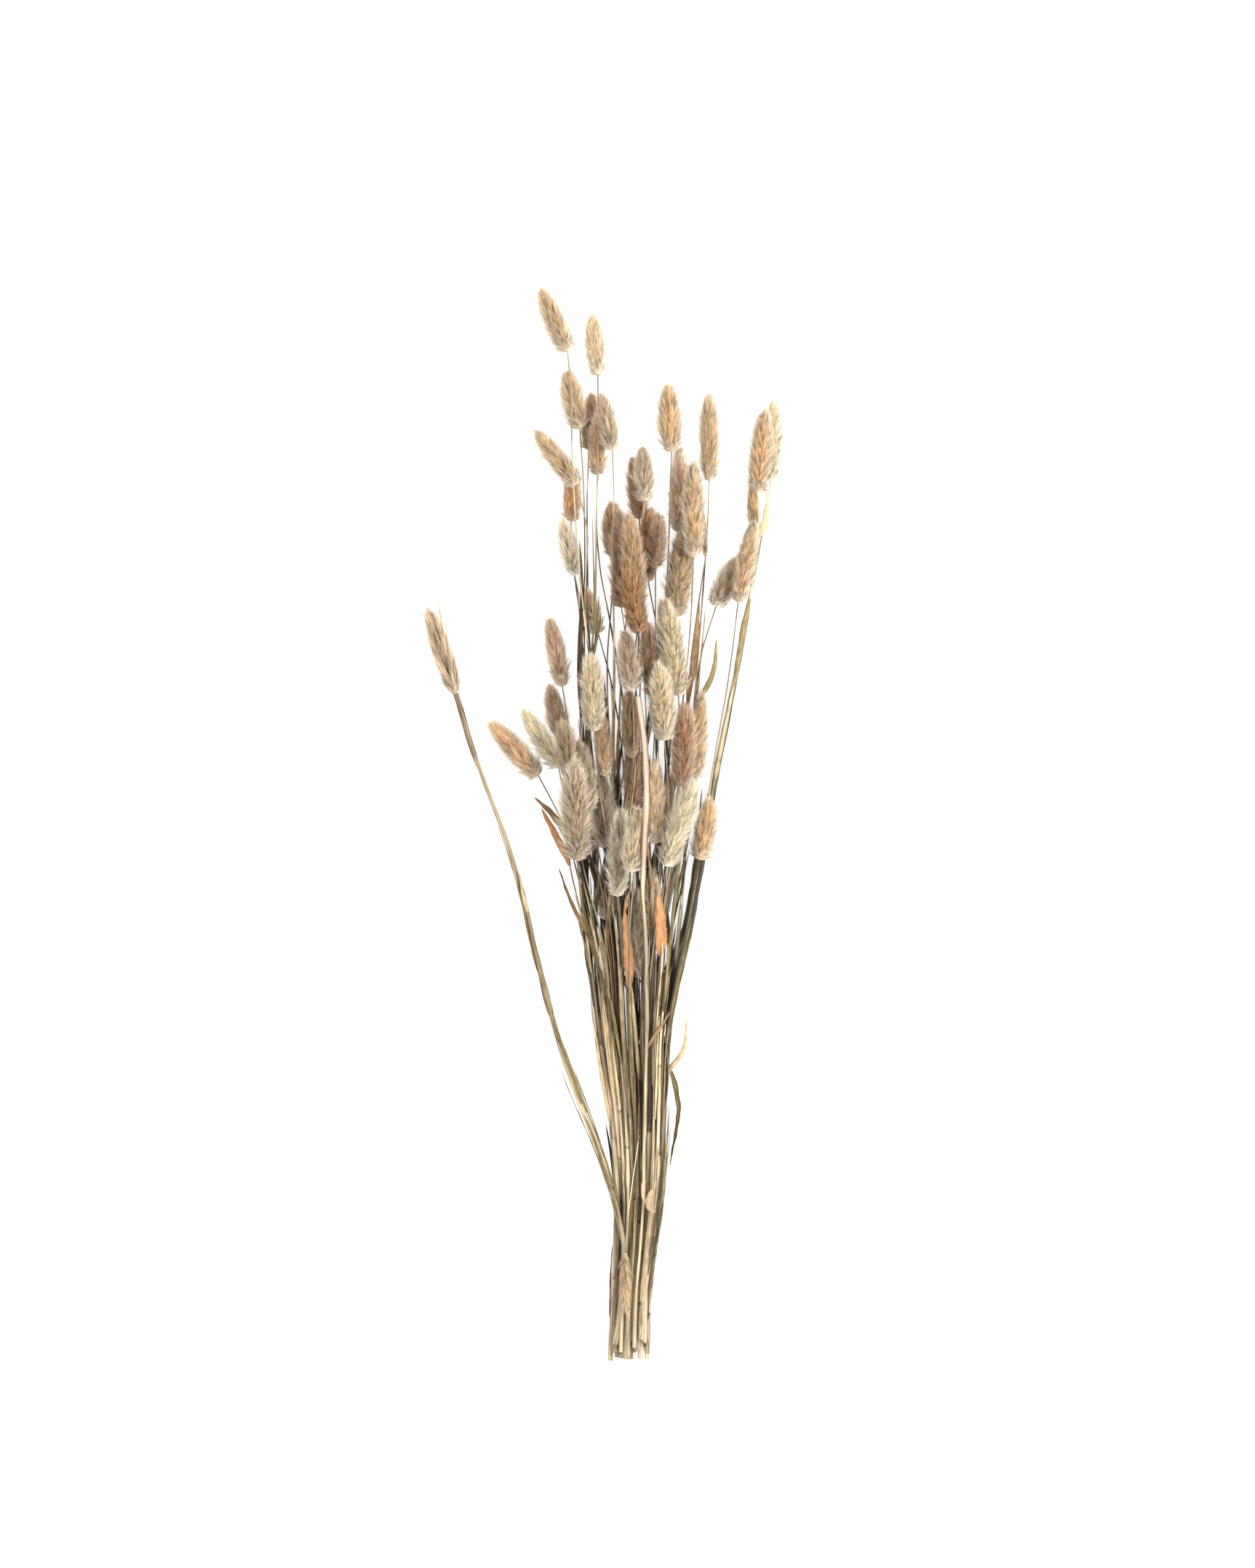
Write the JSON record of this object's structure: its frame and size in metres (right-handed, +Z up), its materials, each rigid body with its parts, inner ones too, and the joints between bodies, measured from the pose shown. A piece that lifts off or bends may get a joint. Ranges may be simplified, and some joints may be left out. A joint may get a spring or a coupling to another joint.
{
  "type": "dried bunny tail grass bunch",
  "caption": "Loose bunch of dried bunny tail grass lying flat: slender stems that gather to a narrow waist, soft oval fluffy heads and a few dry leaves.",
  "frame": {"origin": "middle of the bunch's outline seen from above, on the surface that it lies on", "axes": "+Y along the stems from the cut feet to the heads, +Z up from the surface, +X across the bunch"},
  "size_m": [0.1998, 0.596, 0.0605],
  "materials": {
    "straw": "dry hollow stems, pale straw to brown, dull with a slight sheen on the sheaths",
    "tan": "warm tan fluff of fine dry hairs, lighter at the edges",
    "light_tan": "light tan fluff of fine dry hairs",
    "orange_tan": "orange tan fluff of fine dry hairs",
    "rosy_brown": "rosy brown fluff of fine dry hairs",
    "brown": "brown fluff of fine dry hairs with paler tips",
    "dark_brown": "dark brown fluff of fine dry hairs with paler tips",
    "cream_olive": "cream fluff of fine dry hairs with an olive tinge",
    "cream": "cream white fluff of fine dry hairs",
    "olive_grey": "olive grey fluff of fine dry hairs with paler tips",
    "grey_tan": "grey tan fluff of fine dry hairs",
    "leaf_orange": "dry orange brown leaf blade, ribbed and papery",
    "leaf_brown": "dry brown leaf blade, ribbed and papery",
    "leaf_olive": "dry olive leaf blade, ribbed and papery",
    "leaf_pale": "dry pale sheath or leaf, ribbed and papery"
  },
  "bodies": {
    "root": {"stalk_01": "orange_tan", "stalk_02": "cream_olive", "stalk_03": "light_tan", "stalk_04": "rosy_brown", "stalk_05": "brown", "stalk_06": "rosy_brown", "stalk_07": "dark_brown", "stalk_08": "tan", "stalk_09": "grey_tan", "stalk_10": "grey_tan", "stalk_11": "light_tan", "stalk_12": "orange_tan", "stalk_13": "tan", "stalk_14": "tan", "stalk_15": "tan", "stalk_16": "grey_tan", "stalk_17": "brown", "stalk_18": "orange_tan", "stalk_19": "tan", "stalk_20": "brown", "stalk_21": "leaf_brown", "stalk_22": "tan", "stalk_23": "tan", "stalk_24": "grey_tan", "stalk_25": "orange_tan", "stalk_26": "light_tan", "stalk_27": "cream_olive", "stalk_28": "tan", "stalk_29": "tan", "stalk_30": "tan", "stalk_31": "brown", "stalk_32": "rosy_brown", "stalk_33": "dark_brown", "stalk_34": "dark_brown", "stalk_35": "tan", "stalk_36": "olive_grey", "stalk_37": "brown", "stalk_38": "grey_tan", "stalk_39": "orange_tan", "stalk_40": "brown", "stalk_41": "dark_brown", "stalk_42": "brown", "stalk_43": "light_tan", "stalk_44": "cream_olive", "stalk_45": "orange_tan", "stalk_46": "olive_grey", "stalk_47": "light_tan", "stalk_48": "cream_olive", "stalk_49": "olive_grey", "stalk_50": "rosy_brown", "stalk_51": "orange_tan", "stalk_52": "cream_olive", "stalk_53": "olive_grey", "stalk_54": "cream_olive", "stalk_55": "cream", "stalk_56": "grey_tan", "stalk_57": "cream_olive", "stalk_58": "straw", "stalk_59": "grey_tan", "stalk_60": "cream"}
  },
  "joints": []
}
